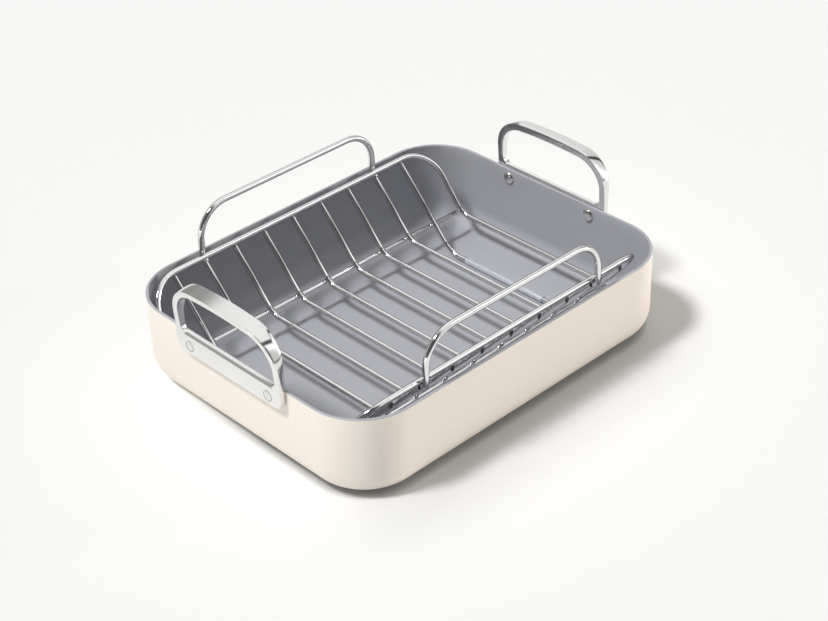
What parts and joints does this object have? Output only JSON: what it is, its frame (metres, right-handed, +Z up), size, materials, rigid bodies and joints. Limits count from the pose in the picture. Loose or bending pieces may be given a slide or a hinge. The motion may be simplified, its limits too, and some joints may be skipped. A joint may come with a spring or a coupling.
{
  "type": "roasting pan with lift-out rack",
  "caption": "Deep rectangular roasting pan with round corners, riveted loop handles on its ends and a trough-shaped wire rack that lifts out by its own handles.",
  "frame": {"origin": "centre of the pan's underside, on the surface it stands on", "axes": "+X along the pan from one loop handle to the other, +Y across it, +Z up"},
  "size_m": [0.4444, 0.335, 0.1493],
  "materials": {
    "pan_enamel": "satin cream ceramic coat outside, speckled grey ceramic nonstick coat inside, on an aluminium shell",
    "cast_handle": "polished cast stainless steel",
    "rivet": "polished stainless steel",
    "rack_wire": "bright drawn stainless steel wire",
    "clear_sleeve": "pale translucent silicone tube"
  },
  "bodies": {
    "pan": {"pan_body": "pan_enamel", "pan_handle_left": "cast_handle", "pan_handle_right": "cast_handle", "rivet_left_near": "rivet", "rivet_left_far": "rivet", "rivet_right_near": "rivet", "rivet_right_far": "rivet"},
    "rack": {"rack_frame": "rack_wire", "cross_wire_1": "rack_wire", "cross_wire_2": "rack_wire", "cross_wire_3": "rack_wire", "cross_wire_4": "rack_wire", "cross_wire_5": "rack_wire", "cross_wire_6": "rack_wire", "cross_wire_7": "rack_wire", "cross_wire_8": "rack_wire", "cross_wire_9": "rack_wire", "foot_sleeve_1": "clear_sleeve", "foot_sleeve_9": "clear_sleeve", "tie_wire_near": "rack_wire", "tie_wire_far": "rack_wire", "rack_handle_near": "rack_wire", "rack_handle_far": "rack_wire"}
  },
  "joints": [
    {"name": "rack_lift", "type": "slide", "parent": "pan", "child": "rack", "axis": [0, 0, 1], "range_m": [0, 0.17]}
  ]
}
